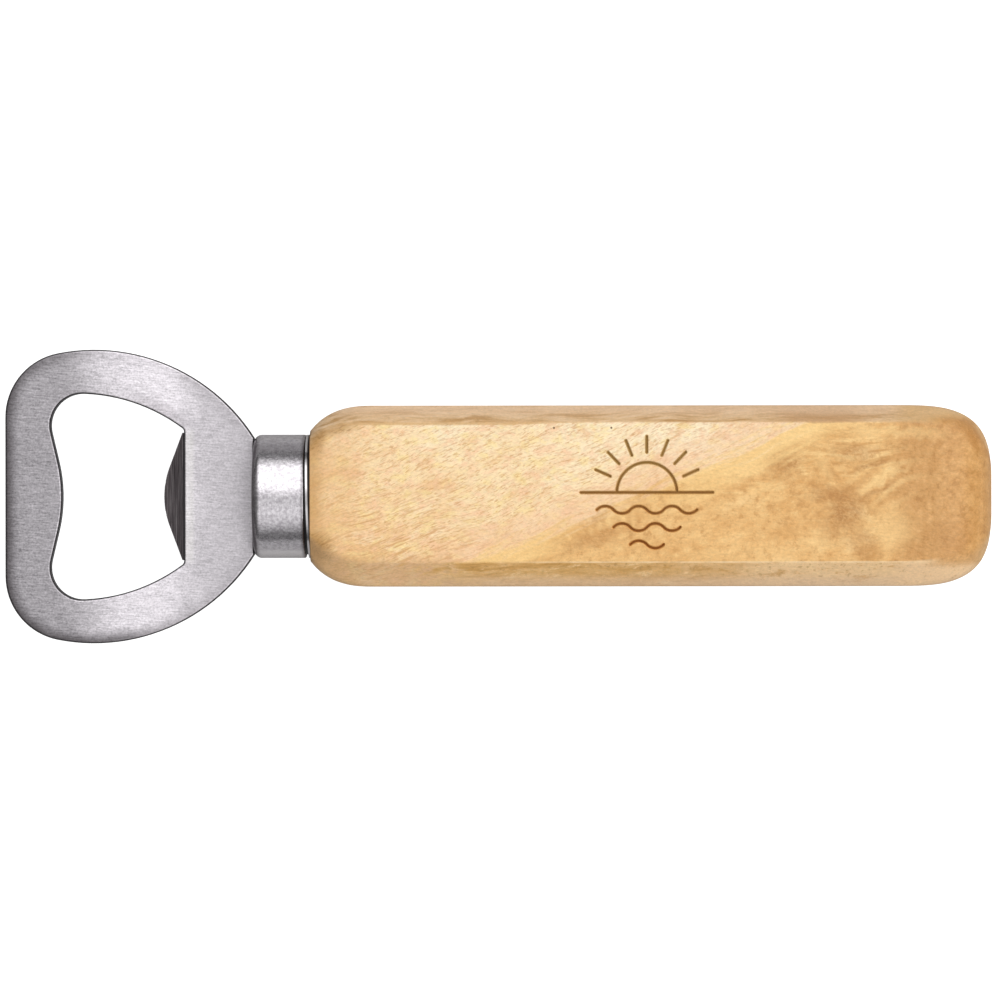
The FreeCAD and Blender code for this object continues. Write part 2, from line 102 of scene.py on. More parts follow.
# The rounded front and butt: length, then how far each runs down its superellipses in plan and in
# profile with their powers, then what the chamfer, shift and arris radius gain at the very end.
FRONT_ROUND = 9.35
FRONT_PLAN = 0.79
FRONT_PLAN_POWER = 2.5
FRONT_PROFILE = 0.42
FRONT_CHAMFER_GAIN = 0.05
FRONT_SHIFT_GAIN = 0.65
FRONT_ARRIS_GAIN = 2.2
BUTT_ROUND = 15.0
BUTT_PLAN = 0.995
BUTT_PLAN_POWER = 3.25
BUTT_LEVEL = 0.33  # share of the butt's length before its top starts to fall
BUTT_ARRIS_GAIN = 5.5
BUTT_ARRIS_MOST = 1.3  # over the chamfer's width
PROFILE_POWER = 2.4
GAIN_POWER = 1.5

MOTIF_X = SHOULDER_X + 50.6
MOTIF_Y = 0.5
STROKE_WIDTH = 0.42
STROKE_DEPTH = 0.33
STROKE_FLOOR = 0.45  # half widths at which a stroke's wall starts and ends
STROKE_EDGE = 1.15
BURN_CORE = 0.3  # half widths over which the burn fades
BURN_EDGE = 1.9
HORIZON_HALF = 9.9
SUN_RADIUS = 4.5
RAY_INNER = 6.0
RAY_OUTER = 8.4
RAY_ANGLES = range(24, 157, 22)
WAVE_ROWS = (6, 4, 2)
WAVE_CHORD = 2.5
WAVE_RISE = 0.55
WAVE_PITCH = 2.6


# ---------------------------------------------------------------- handle mesh


def fade(along, power):
    """1 at along = 0, falling to 0 at along = 1 on a superellipse."""
    return max(0.0, 1.0 - max(0.0, along) ** power) ** (1.0 / power)


def front_form(share):
    """Half width, half height, chamfer, facet shift and arris radius. share is 1 at the shoulder."""
    width = HALF_WIDTH * fade(share * FRONT_PLAN, FRONT_PLAN_POWER)
    height = HALF_THICKNESS * fade(share * FRONT_PROFILE, PROFILE_POWER)
    gain = share**GAIN_POWER
    chamfer = width * (1 - FACET_SHARE + FRONT_CHAMFER_GAIN * gain)
    shift = FACET_SHIFT + FRONT_SHIFT_GAIN * gain
    return width, height, chamfer, shift, ARRIS_RADIUS + FRONT_ARRIS_GAIN * share


def rear_form(share):
    """The same for the butt, where share is 1 at the very end."""
    along = share * BUTT_PLAN
    width = HALF_WIDTH * fade(along, BUTT_PLAN_POWER)
    height = HALF_THICKNESS * fade((along - BUTT_LEVEL) / (1 - BUTT_LEVEL), PROFILE_POWER)
    chamfer = width * (1 - FACET_SHARE)
    shift = FACET_SHIFT * width / HALF_WIDTH
    arris = ARRIS_RADIUS + BUTT_ARRIS_GAIN * share**GAIN_POWER
    return width, height, chamfer, shift, min(arris, BUTT_ARRIS_MOST * chamfer)


TOP_POINTS = 172  # across the top facet, close enough to carve the motif
FACET_POINTS = [5, TOP_POINTS, 5, 7, 5, 15, 5, 7]  # from the +Y upper chamfer round through the top
LEVEL_FACETS = (1, 5)  # the top and bottom ones of those eight
ARRIS_POINTS = 4
FRONT_RINGS = 22
FRONT_CROWDING = 0.8  # power that sets the front's rings closer together near the shoulder
PLAIN_RINGS = 34  # in each straight stretch beside the motif
MOTIF_RINGS = 182
MOTIF_MARGIN = 0.8  # dense rings past each end of the horizon
BUTT_RINGS = 40
SHARP_ANGLE = 50  # edges sharper than this don't blend in shading


def section(form):
    """One ring of the handle: points (y, z) round its eight facets and eight rounded arrises."""
    width, height, chamfer, shift, radius = form
    corners = []
    for sign_y, sign_z in ((1, 1), (-1, 1), (-1, -1), (1, -1)):
        beside = (sign_y * width, sign_z * (height - chamfer))
        above = (sign_y * (width - chamfer) + shift, sign_z * height)
        corners += [beside, above] if sign_y * sign_z > 0 else [above, beside]
    corners = np.array(corners)
    ring = []
    for index, corner in enumerate(corners):
        following = corners[(index + 1) % 8]
        before = unit(corners[index - 1] - corner)
        after = unit(following - corner)
        turn = math.pi - math.acos(before.dot(after))
        centre = corner + unit(before + after) * radius / math.cos(turn / 2)
        start = corner + before * radius * math.tan(turn / 2) - centre
        for step in range(ARRIS_POINTS + 1):
            angle = math.atan2(start[1], start[0]) + turn * step / ARRIS_POINTS
            ring.append(centre + radius * np.array([math.cos(angle), math.sin(angle)]))
        begin = ring[-1]
        next_after = unit(corners[(index + 2) % 8] - following)
        next_turn = math.pi - math.acos(-after.dot(next_after))
        end = following - after * radius * math.tan(next_turn / 2)
        inner = FACET_POINTS[index]
        for step in range(1, inner + 1):
            ring.append(begin + (end - begin) * step / (inner + 1))
    return np.array(ring)


def unit(vector):
    return vector / np.linalg.norm(vector)


def sloping():
    """For each point of a ring, 0 on the top and bottom facets and 1 on the others."""
    steps = np.linspace(0, 1, ARRIS_POINTS + 1)
    shares = []
    for index, inner in enumerate(FACET_POINTS):
        before = (index - 1) % 8 not in LEVEL_FACETS
        here = index not in LEVEL_FACETS
        shares += (before + (here - before) * steps).tolist()
        shares += [float(here)] * inner
    return np.array(shares)


def stations():
    """X and form of every ring from the shoulder to the butt, dense where the motif is."""
    rows = []
    for step in range(FRONT_RINGS):
        share = 1 - (step / FRONT_RINGS) ** FRONT_CROWDING
        rows.append((SHOULDER_X + FRONT_ROUND * (1 - share), front_form(share)))
    straight_start = SHOULDER_X + FRONT_ROUND
    straight_end = BUTT_X - BUTT_ROUND
    reach = HORIZON_HALF + MOTIF_MARGIN
    spans = [
        (straight_start, MOTIF_X - reach, PLAIN_RINGS),
        (MOTIF_X - reach, MOTIF_X + reach, MOTIF_RINGS),
        (MOTIF_X + reach, straight_end, PLAIN_RINGS),
    ]
    for start, end, count in spans:
        for step in range(count):
            rows.append((start + (end - start) * step / count, front_form(0)))
    for step in range(BUTT_RINGS + 1):
        share = math.sin(math.pi / 2 * step / BUTT_RINGS)
        rows.append((BUTT_X - BUTT_ROUND * (1 - share), rear_form(share)))
    return rows


def to_segment(x, y, start, end):
    """Distance from each point to a straight stroke."""
    run = np.array(end) - np.array(start)
    along = ((x - start[0]) * run[0] + (y - start[1]) * run[1]) / run.dot(run)
    along = np.clip(along, 0, 1)
    return np.hypot(x - start[0] - along * run[0], y - start[1] - along * run[1])


def to_arc(x, y, centre, radius, middle, half_sweep):
    """Distance from each point to an arc that spreads half_sweep either side of middle, in radians."""
    dx = x - centre[0]
    dy = y - centre[1]
    turn = np.arctan2(dy, dx) - middle
    turn = np.clip((turn + np.pi) % (2 * np.pi) - np.pi, -half_sweep, half_sweep) + middle
    return np.hypot(dx - radius * np.cos(turn), dy - radius * np.sin(turn))


def motif_distance(x, y):
    """Distance from each point of the facet to the nearest stroke of the sunrise and waves."""
    nearest = to_segment(x, y, (-HORIZON_HALF, 0), (HORIZON_HALF, 0))
    nearest = np.minimum(nearest, to_arc(x, y, (0, 0), SUN_RADIUS, math.pi / 2, math.pi / 2))
    for degrees in RAY_ANGLES:
        ray = np.array([math.cos(math.radians(degrees)), math.sin(math.radians(degrees))])
        nearest = np.minimum(nearest, to_segment(x, y, ray * RAY_INNER, ray * RAY_OUTER))
    radius = (WAVE_CHORD**2 / 4 + WAVE_RISE**2) / (2 * WAVE_RISE)
    half_sweep = math.asin(WAVE_CHORD / 2 / radius)
    for row, count in enumerate(WAVE_ROWS, 1):
        for step in range(count):
            side = 1 if step % 2 == 0 else -1
            centre_x = WAVE_CHORD * (step + 0.5 - count / 2)
            centre_y = -WAVE_PITCH * row + side * (WAVE_RISE - radius)
            wave = to_arc(x, y, (centre_x, centre_y), radius, side * math.pi / 2, half_sweep)
            nearest = np.minimum(nearest, wave)
    return nearest


def smooth(low, high, value):
    share = np.clip((value - low) / (high - low), 0, 1)
    return share * share * (3 - 2 * share)


def outer_rings():
    """Points of the eight-sided outside, ring by ring, with the motif carved in, and their burn."""
    rings = []
    for x, form in stations():
        ring = section(form)
        rings.append(np.column_stack([np.full(len(ring), x), ring]))
    points = np.array(rings)
    first = 2 * (ARRIS_POINTS + 1) + FACET_POINTS[0]
    on_top = slice(first, first + TOP_POINTS)
    far = np.full(points.shape[:2], math.inf)
    far[:, on_top] = motif_distance(points[:, on_top, 0] - MOTIF_X, points[:, on_top, 1] - MOTIF_Y)
    half = STROKE_WIDTH / 2
    points[..., 2] += AXIS_Z
    points[..., 2] -= STROKE_DEPTH * (1 - smooth(half * STROKE_FLOOR, half * STROKE_EDGE, far))
    return points, 1 - smooth(half * BURN_CORE, half * BURN_EDGE, far)


def inner_rings(first_ring):
    """Rings of the bore and the tenon, at the same angles as the outside's first ring."""
    turns = np.arctan2(first_ring[:, 2] - AXIS_Z, first_ring[:, 1])
    tenon_x = SHOULDER_X - TENON_LENGTH
    rings = []
    for x, radius in (
        (tenon_x + BORE_DEPTH, BORE_RADIUS),
        (tenon_x, BORE_RADIUS),
        (tenon_x, TENON_RADIUS),
        (SHOULDER_X, TENON_RADIUS),
    ):
        across = radius * np.cos(turns)
        rings.append(np.column_stack([np.full(len(turns), x), across, AXIS_Z + radius * np.sin(turns)]))
    return np.array(rings)


def ring_faces(ring_total, count):
    """Quads between rings, and a fan at each end to a pole; the two poles follow the rings' points."""
    around = np.arange(count)
    after = (around + 1) % count
    faces = []
    for ring in range(ring_total - 1):
        a = ring * count
        b = a + count
        quads = np.column_stack([a + around, a + after, b + after, b + around])
        faces += quads.tolist()
    last = (ring_total - 1) * count
    start_pole = ring_total * count
    faces += np.column_stack([np.full(count, start_pole), after, around]).tolist()
    butt = np.column_stack([np.full(count, start_pole + 1), last + around, last + after])
    faces += butt.tolist()
    return faces


def make_handle():
    """The wooden handle, with its burn and slope stored on its points for the material."""
    outside, burn = outer_rings()
    inside = inner_rings(outside[0])
    rings = np.concatenate([inside, outside])
    poles = np.array([[inside[0, 0, 0], 0, AXIS_Z], [BUTT_X, 0, AXIS_Z]])
    verts = np.concatenate([rings.reshape(-1, 3), poles]) * MM
    mesh = bpy.data.meshes.new("turned_handle")
    mesh.from_pydata(verts.tolist(), [], ring_faces(*rings.shape[:2]))
    burns = np.concatenate([np.zeros(inside.shape[:2]), burn])
    slopes = np.tile(sloping(), len(rings))
    for name, values in (("burn", burns.reshape(-1)), ("slope", slopes)):
        layer = mesh.attributes.new(name, "FLOAT", "POINT")
        layer.data.foreach_set("value", np.append(values, [0.0, 0.0]).astype(np.float32))
    mesh.polygons.foreach_set("use_smooth", [True] * len(mesh.polygons))
    mesh.update()
    piece = bpy.data.objects.new("turned_handle", mesh)
    bpy.context.scene.collection.objects.link(piece)
    mesh.set_sharp_from_angle(angle=math.radians(SHARP_ANGLE))
    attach(piece, "root")
    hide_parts("handle")
    return piece


# ---------------------------------------------------------------- node helpers


class Tree:
    """A material's or the world's node tree, with short calls for the nodes used here."""

    def __init__(self, owner):
        owner.use_nodes = True
        self.nodes = owner.node_tree.nodes
        self.links = owner.node_tree.links
        self.nodes.clear()

    def add(self, kind, **settings):
        node = self.nodes.new(kind)
        for name, value in settings.items():
            setattr(node, name, value)
        return node

    def feed(self, node, name, value):
        """Sets an input to a constant, or links it to an output."""
        socket = node.inputs[name]
        if isinstance(value, bpy.types.NodeSocket):
            self.links.new(value, socket)
        else:
            socket.default_value = value

    def math(self, operation, *values):
        node = self.add("ShaderNodeMath", operation=operation)
        for index, value in enumerate(values):
            self.feed(node, index, value)
        return node.outputs[0]

    def times(self, first, second):
        return self.math("MULTIPLY", first, second)

    def vector(self, operation, *values):
        node = self.add("ShaderNodeVectorMath", operation=operation)
        for index, value in enumerate(values):
            self.feed(node, index, value)
        return node.outputs[0]

    def attribute(self, name):
        """A number that the mesh stores for each of its points."""
        return self.add("ShaderNodeAttribute", attribute_name=name).outputs["Fac"]

    def place(self):
        """Object position in millimetres, in the frame's axes."""
        coordinates = self.add("ShaderNodeTexCoord")
        return self.vector("MULTIPLY", coordinates.outputs["Object"], (1 / MM,) * 3)

    def split(self, vector):
        node = self.add("ShaderNodeSeparateXYZ")
        self.feed(node, 0, vector)
        return node.outputs

    def join(self, x, y, z):
        node = self.add("ShaderNodeCombineXYZ")
        for index, value in enumerate((x, y, z)):
            self.feed(node, index, value)
        return node.outputs[0]

    def grain(self, place, degrees, length, width):
        """Coordinates turned to a grain direction in XY and squeezed to one unit per feature."""
        node = self.add("ShaderNodeMapping", vector_type="TEXTURE")
        self.feed(node, "Vector", place)
        node.inputs["Rotation"].default_value = (0, 0, math.radians(degrees))
        node.inputs["Scale"].default_value = (length, width, width)
        return node.outputs[0]

    def noise(self, vector, detail=2.0, roughness=0.5, scale=1.0, distortion=0.0, output="Factor"):
        node = self.add("ShaderNodeTexNoise")
        self.feed(node, "Vector", vector)
        self.feed(node, "Scale", scale)
        self.feed(node, "Detail", detail)
        self.feed(node, "Roughness", roughness)
        self.feed(node, "Distortion", distortion)
        return node.outputs[1 if output == "Color" else 0]

    def warp(self, place, scale, detail):
        """Place pushed about by up to 1.5 mm each way by noise, so that figure looks grown."""
        push = self.noise(place, scale=scale, detail=detail, output="Color")
        push = self.vector("SUBTRACT", push, (0.5,) * 3)
        return self.vector("ADD", place, self.vector("MULTIPLY", push, (3.0,) * 3))

    def span(self, value, low, high, start=0.0, end=1.0, smooth_step=True):
        """Goes from start to end as value goes from low to high, and stays there outside them."""
        node = self.add("ShaderNodeMapRange")
        node.interpolation_type = "SMOOTHSTEP" if smooth_step else "LINEAR"
        for index, number in enumerate((value, low, high, start, end)):
            self.feed(node, index, number)
        return node.outputs[0]

    def ramp(self, value, stops):
        """Colour by value; stops are (position, colour)."""
        node = self.add("ShaderNodeValToRGB")
        ramp = node.color_ramp
        ramp.elements[0].position, ramp.elements[0].color = stops[0][0], stops[0][1]
        ramp.elements[1].position, ramp.elements[1].color = stops[-1][0], stops[-1][1]
        for position, colour in stops[1:-1]:
            ramp.elements.new(position).color = colour
        self.feed(node, 0, value)
        return node.outputs[0]

    def mix(self, share, first, second, blend="MIX"):
        node = self.add("ShaderNodeMix", data_type="RGBA", blend_type=blend)
        self.feed(node, 0, share)
        self.feed(node, 6, first)
        self.feed(node, 7, second)
        return node.outputs[2]

    def spread(self, first, second, value, low, high, share=1.0):
        """Mixes the second colour in, from none where value is at low up to share at high."""
        return self.mix(self.span(value, low, high, 0.0, share), first, second)

    def distance(self, place, centre_x, centre_y):
        """Distance in plan from a centre given from the handle's shoulder and axis."""
        x, y, _ = self.split(place)
        dx = self.math("SUBTRACT", x, SHOULDER_X + centre_x)
        dy = self.math("SUBTRACT", y, centre_y)
        return self.hypot(dx, dy)

    def hypot(self, a, b):
        squares = self.math("ADD", self.times(a, a), self.times(b, b))
        return self.math("SQRT", squares)

    def rings(self, place, centre_x, centre_y, spacing):
        """0 to 1 and back once every spacing, along circles about a centre."""
        turns = self.times(self.distance(place, centre_x, centre_y), 2 * math.pi / spacing)
        return self.math("MULTIPLY_ADD", self.math("SINE", turns), 0.5, 0.5)

    def bump(self, height, distance):
        """Bump whose height of 1 stands for distance in millimetres."""
        node = self.add("ShaderNodeBump")
        self.feed(node, "Strength", 1.0)
        self.feed(node, "Distance", distance * MM)
        self.feed(node, "Height", height)
        return node.outputs[0]

    def surface(self, shader):
        output = self.add("ShaderNodeOutputMaterial")
        self.links.new(shader, output.inputs["Surface"])

    def principled(self, colour, roughness, normal, **constants):
        node = self.add("ShaderNodeBsdfPrincipled")
        self.feed(node, "Base Color", colour)
        self.feed(node, "Roughness", roughness)
        self.feed(node, "Normal", normal)
        for name, value in constants.items():
            node.inputs[name.replace("_", " ")].default_value = value
        self.surface(node.outputs[0])
        return node


def srgb(red, green, blue):
    """Linear RGBA of a colour given in 0 to 255 screen values."""
    channels = [value / 255 for value in (red, green, blue)]
    linear = [c / 12.92 if c <= 0.04045 else ((c + 0.055) / 1.055) ** 2.4 for c in channels]
    return (*linear, 1.0)


def grey(value):
    return (value, value, value, 1.0)


def new_material(name):
    material = bpy.data.materials.new(name)
    return material, Tree(material)


def dress(node, material):
    """Gives a CAD node one material."""
    mesh = nodes[node].data
    mesh.materials.clear()
    mesh.materials.append(material)


# ---------------------------------------------------------------- steel


def edge_reach(t, x, y):
    """Distance inwards from the head's outline: its front corners and its long side arcs. Behind the
    corners their share grows steeply, so that only the arcs count there."""
    side = t.math("ABSOLUTE", y)
    corner_x = head_low.x + CORNER_RADIUS
    before = t.math("SUBTRACT", x, corner_x)
    above = t.math("MAXIMUM", t.math("SUBTRACT", side, CORNER_Y), 0.0)
    corner = t.math("SUBTRACT", CORNER_RADIUS, t.hypot(t.math("MINIMUM", before, 0.0), above))
    corner = t.math("ADD", corner, t.times(t.math("MAXIMUM", before, 0.0), 9.0))
    lean = math.radians(CROWN_ANGLE)
    crown_x = corner_x - (CROWN_RADIUS - CORNER_RADIUS) * math.cos(lean)
    crown_y = CORNER_Y - (CROWN_RADIUS - CORNER_RADIUS) * math.sin(lean)
    from_crown = t.hypot(t.math("SUBTRACT", x, crown_x), t.math("SUBTRACT", side, crown_y))
    return t.math("MINIMUM", corner, t.math("SUBTRACT", CROWN_RADIUS, from_crown))


def plate_painted_reflection(t, drift):
    """Painted reflection on the plate from its front to the ferrule: dull, then a bright highlight,
    then middling.
    """
    return t.ramp(
        t.span(drift, head_low.x, ferrule_low.x, smooth_step=False),
        [
            (0.0, grey(0.35)),
            (0.09, grey(0.385)),
            (0.22, grey(0.38)),
            (0.42, grey(0.69)),
            (0.56, grey(0.785)),
            (0.68, grey(0.775)),
            (0.80, grey(0.565)),
            (1.0, grey(0.50)),
        ],
    )


def brushing(t, place, fine, grit):
    """Factor about 1 that darkens and lightens the plate in brush marks, deepest at the front."""
    hair = t.noise(t.grain(place, -3.0, 4.5, 0.16), detail=1)
    marks = t.math("MULTIPLY_ADD", fine, 1.1, -1.29)
    marks = t.math("MULTIPLY_ADD", hair, 0.3, marks)
    marks = t.math("MULTIPLY_ADD", grit, 1.25, marks)
    depth = t.span(t.split(place)[0], head_low.x, ferrule_low.x, 1.4, 0.75, smooth_step=False)
    return t.math("MULTIPLY_ADD", marks, depth, 1.0)


def painted_edge_shade(t, x, y, cloud):
    """Share of painted shade, a dark reflection, inside the head's outline, strongest at the front's
    -Y corner.
    """
    reach = t.math("MULTIPLY_ADD", t.math("SUBTRACT", cloud, 0.5), -1.6, edge_reach(t, x, y))
    corner_side = t.math("MULTIPLY_ADD", y, 0.45, x)
    # painted shade, strongest towards the front's -Y corner
    rubbed = t.span(corner_side, -46.0, -72.0, 0.12, 0.80)
    return t.times(rubbed, t.span(reach, 2.4, 0.1))


def lifter_share(t, x, y, z):
    """1 on the bent lifter, found as what lies under the plate's top just ahead of the bend."""
    from_bend = t.math("SUBTRACT", x, BEND_X)
    share = t.span(t.math("SUBTRACT", PLATE_TOP, z), 0.34, 0.40)
    share = t.times(share, t.span(from_bend, -LIFTER_REACH, 0.5 - LIFTER_REACH))
    share = t.times(share, t.span(from_bend, 0.2, 0.1))
    return t.times(share, t.span(t.math("ABSOLUTE", y), LIFTER_HALF, LIFTER_HALF - 0.1))


def head_steel():
    """Satin steel brushed nearly along X, with a painted reflection along the plate, painted shade
    along the outline, a faint smudge and a painted highlight strip beside the bend. The lifter is
    painted dark as shade and brushed across, and the cut walls are painted darker as shade."""
    material, t = new_material("brushed_head_steel")
    place = t.place()
    x, y, z = t.split(place)
    fine = t.noise(t.grain(place, -5.0, 1.45, 0.19), detail=3, roughness=0.65)
    cloud = t.noise(place, scale=0.16, detail=3)
    grit = t.noise(place, scale=3.1, detail=3, roughness=0.75)
    drift = t.math("MULTIPLY_ADD", t.math("SUBTRACT", cloud, 0.5), 9.0, x)
    flat = t.mix(1.0, plate_painted_reflection(t, drift), (1.0, 0.95, 1.0, 1.0), "MULTIPLY")
    flat = t.mix(1.0, flat, brushing(t, place, fine, grit), "MULTIPLY")
    # painted shade along the outline
    flat = t.mix(painted_edge_shade(t, x, y, cloud), flat, srgb(62, 56, 58))
    smudge = patch(t, place, -23.4, 13.4, 5.0, 1.1, -27)
    flat = t.mix(t.times(smudge, 0.30), flat, srgb(110, 102, 106))
    # painted highlight in a strip beside the bend
    from_bend = t.math("SUBTRACT", x, BEND_X)
    bend_highlight = t.times(t.span(from_bend, 0.1, 0.3, 0.0, 0.22), t.span(from_bend, 1.9, 1.1))
    bend_highlight = t.times(bend_highlight, t.span(t.math("ABSOLUTE", y), 11.0, 9.0))
    flat = t.mix(bend_highlight, flat, srgb(240, 239, 228))
    # the lifter painted dark as shade, streaked across by its striations
    across = t.noise(t.grain(place, 90, 6.0, 0.2), detail=3, roughness=0.65)
    lifter_shade_stops = [(0.3, srgb(84, 78, 80)), (0.52, srgb(136, 127, 130)), (0.7, srgb(192, 184, 186))]
    lifter_shade = t.ramp(across, lifter_shade_stops)
    lifter = lifter_share(t, x, y, z)
    # the cut walls painted dark as shade, and made less metallic
    depth = t.math("SUBTRACT", PLATE_HALF, t.math("ABSOLUTE", t.math("SUBTRACT", z, AXIS_Z)))
    painted_rim = t.times(t.span(depth, 0.004, 0.07), t.math("SUBTRACT", 1.0, lifter))
    colour = t.mix(lifter, t.mix(painted_rim, flat, srgb(44, 40, 42)), lifter_shade)
    roughness = t.math("MULTIPLY_ADD", fine, 0.2, 0.27)
    height = t.math("MULTIPLY_ADD", grit, 0.8, fine)
    steel = t.principled(colour, roughness, t.bump(height, 0.006))
    t.feed(steel, "Metallic", t.math("MULTIPLY_ADD", painted_rim, -0.8, 1.0))
    return material


def ferrule_steel():
    """Smooth drawn steel, faintly dimpled, with small spots, a painted dark reflection band on the +Y
    side, a painted pale reflection strip on the -Y side and painted shade at the front and rear edges."""
    material, t = new_material("drawn_ferrule_steel")
    place = t.place()
    x, y, _ = t.split(place)
    cloud = t.noise(place, scale=0.35, detail=3)
    dimples = t.noise(place, scale=2.2, detail=3, roughness=0.62)
    grit = t.noise(place, scale=1.9, detail=3, roughness=0.7)
    rings = t.noise(t.join(t.times(x, 5.0), 0.0, 0.0), detail=3)
    spots = t.noise(place, scale=3.6, detail=2)
    colour = t.spread(srgb(191, 186, 191), srgb(226, 222, 226), grit, 0.34, 0.64)
    colour = t.spread(colour, srgb(104, 98, 100), spots, 0.63, 0.75, 0.35)
    # painted dark reflection band on the +Y side
    upper_shade_band = t.times(t.span(y, 6.0, 6.9, 0.0, 0.38), t.span(y, 8.6, 7.4))
    colour = t.mix(upper_shade_band, colour, srgb(112, 104, 108))
    # painted pale reflection strip on the -Y side
    colour = t.spread(colour, srgb(250, 246, 248), y, -7.9, -8.5, 0.8)
    from_front = t.math("SUBTRACT", x, ferrule_low.x)
    from_rear = t.math("SUBTRACT", ferrule_high.x, x)
    # painted shade at the front and rear edges
    colour = t.spread(colour, srgb(88, 80, 82), from_front, 1.3, 0.2, 0.75)
    colour = t.spread(colour, srgb(96, 88, 90), from_rear, 0.7, 0.2, 0.6)
    roughness = t.math("MULTIPLY_ADD", cloud, 0.12, 0.15)
    roughness = t.math("MULTIPLY_ADD", rings, 0.06, roughness)
    height = t.math("MULTIPLY_ADD", cloud, 1.5, t.times(rings, 0.5))
    height = t.math("MULTIPLY_ADD", dimples, 1.4, height)
    t.principled(colour, roughness, t.bump(height, 0.021), Metallic=1.0)
    return material


def washer_steel():
    """Bright plated ring with fine wear and a painted shadow line at its rear edge, next to the wood.
    """
    material, t = new_material("bright_washer_steel")
    place = t.place()
    x, y, _ = t.split(place)
    wear = t.noise(place, scale=1.4, detail=4, roughness=0.65)
    colour = t.mix(wear, srgb(176, 172, 174), srgb(238, 235, 236))
    rear = t.math("MULTIPLY_ADD", y, WASHER_LEAN, t.math("SUBTRACT", x, WASHER_X))
    # painted shadow on the rear edge, next to the wood
    colour = t.spread(colour, srgb(64, 50, 40), rear, 0.06, 0.14, 0.9)
    roughness = t.math("MULTIPLY_ADD", wear, 0.2, 0.06)
    t.principled(colour, roughness, t.bump(wear, 0.01), Metallic=1.0)
    return material


def cured_adhesive():
    """Amber epoxy with small bubbles, hidden round the tang."""
    material, t = new_material("cured_adhesive")
    place = t.place()
    cloud = t.noise(place, scale=0.4, detail=3)
    bubbles = t.noise(place, scale=3.0, detail=1)
    colour = t.mix(cloud, srgb(150, 112, 62), srgb(204, 168, 104))
    roughness = t.math("MULTIPLY_ADD", cloud, 0.15, 0.3)
    t.principled(colour, roughness, t.bump(bubbles, 0.03))
    return material


# ---------------------------------------------------------------- wood

TOP_LIGHT = 1.02  # how brightly the studio shows white on the top facet and on the two chamfers
UPPER_LIGHT = 0.93
LOWER_LIGHT = 0.76
WOOD_SHEEN = 0.035  # what gloss adds


def shown(red, green, blue, light=TOP_LIGHT):
    """Base colour that shows as the given screen colour under that much light."""
    return tuple(max(0.0, (c - WOOD_SHEEN) / light) for c in srgb(red, green, blue)[:3]) + (1.0,)


# Soft patches: centre from the shoulder and axis, half sizes, lean in degrees, strength. The first
# two lists are figure in the heartwood, and the last one is the shadows beside the ferrule.
DARK_FIGURE = [
    (71.5, 4.6, 3.6, 2.6, 30, 0.65),
    (80.8, -1.4, 3.2, 2.8, 60, 0.72),
    (77.2, 0.0, 3.0, 1.3, 10, 0.55),
    (78.6, -4.6, 2.8, 2.2, 60, 0.50),
    (82.6, -7.4, 2.4, 3.2, 20, 0.55),
    (81.6, 6.6, 4.2, 1.6, 4, 0.55),
    (95.8, -6.0, 4.4, 3.0, 30, 0.35),
    (100.2, 9.4, 4.6, 1.9, -35, 0.90),
    (42.0, -6.6, 5.0, 1.3, 25, 0.50),
    (43.2, -3.0, 1.8, 0.8, 60, 0.45),
    (84.0, 4.5, 3.2, 0.5, 18, 0.70),
    (85.2, 0.9, 3.0, 0.5, 24, 0.60),
]
PALE_FIGURE = [
    (66.8, 4.6, 6.0, 1.8, 25, 0.60),
    (46.2, -3.2, 2.2, 1.6, 20, 0.55),
    (87.2, -5.0, 4.0, 3.4, 30, 0.60),
    (74.0, 9.6, 4.0, 1.6, 10, 0.70),
    (76.5, -7.4, 2.0, 1.4, 40, 0.50),
    (88.0, 9.6, 8.0, 1.0, -3, 0.60),
    (86.5, 2.7, 3.6, 0.45, 21, 0.85),
    (62.0, -9.0, 9.0, 0.9, 2, 0.40),
    (77.5, 4.0, 1.0, 2.4, 30, 0.50),
]
FRONT_FIGURE = [
    (3.6, 9.8, 4.2, 1.3, 10, 0.80),
    (1.0, 8.4, 1.6, 2.4, 0, 0.70),
    (1.2, -7.6, 2.2, 2.6, 60, 0.80),
]
SPECKS = [(36.7, 10.2), (45.3, 10.2)]  # small dark dots near the +Y arris, from the same place
HEART_MIDDLE = (48.6, 0.3)  # where the edge of the heartwood crosses the facet
HEART_LEAN = math.radians(23)
KNOT = (45.6, -3.4)
RIPPLE = (94.0, -9.5)  # centre of the curved ripples near the butt


def patch(t, place, centre_x, centre_y, half_length, half_width, lean):
    """1 at the middle of a soft leaning ellipse and 0 outside it."""
    shifted = t.vector("SUBTRACT", place, (SHOULDER_X + centre_x, centre_y, 0))
    u, v, _ = t.split(t.grain(shifted, lean, half_length, half_width))
    return t.span(t.hypot(u, v), 0.2, 1.5, 1.0, 0.0)


def patches(t, place, rows):
    """A list of patches together, each as strong as its row says and 1 at most."""
    total = 0.0
    for centre_x, centre_y, half_length, half_width, lean, strength in rows:
        spot = patch(t, place, centre_x, centre_y, half_length, half_width, lean)
        total = t.math("MULTIPLY_ADD", spot, strength, total)
    return t.math("MINIMUM", total, 1.0)


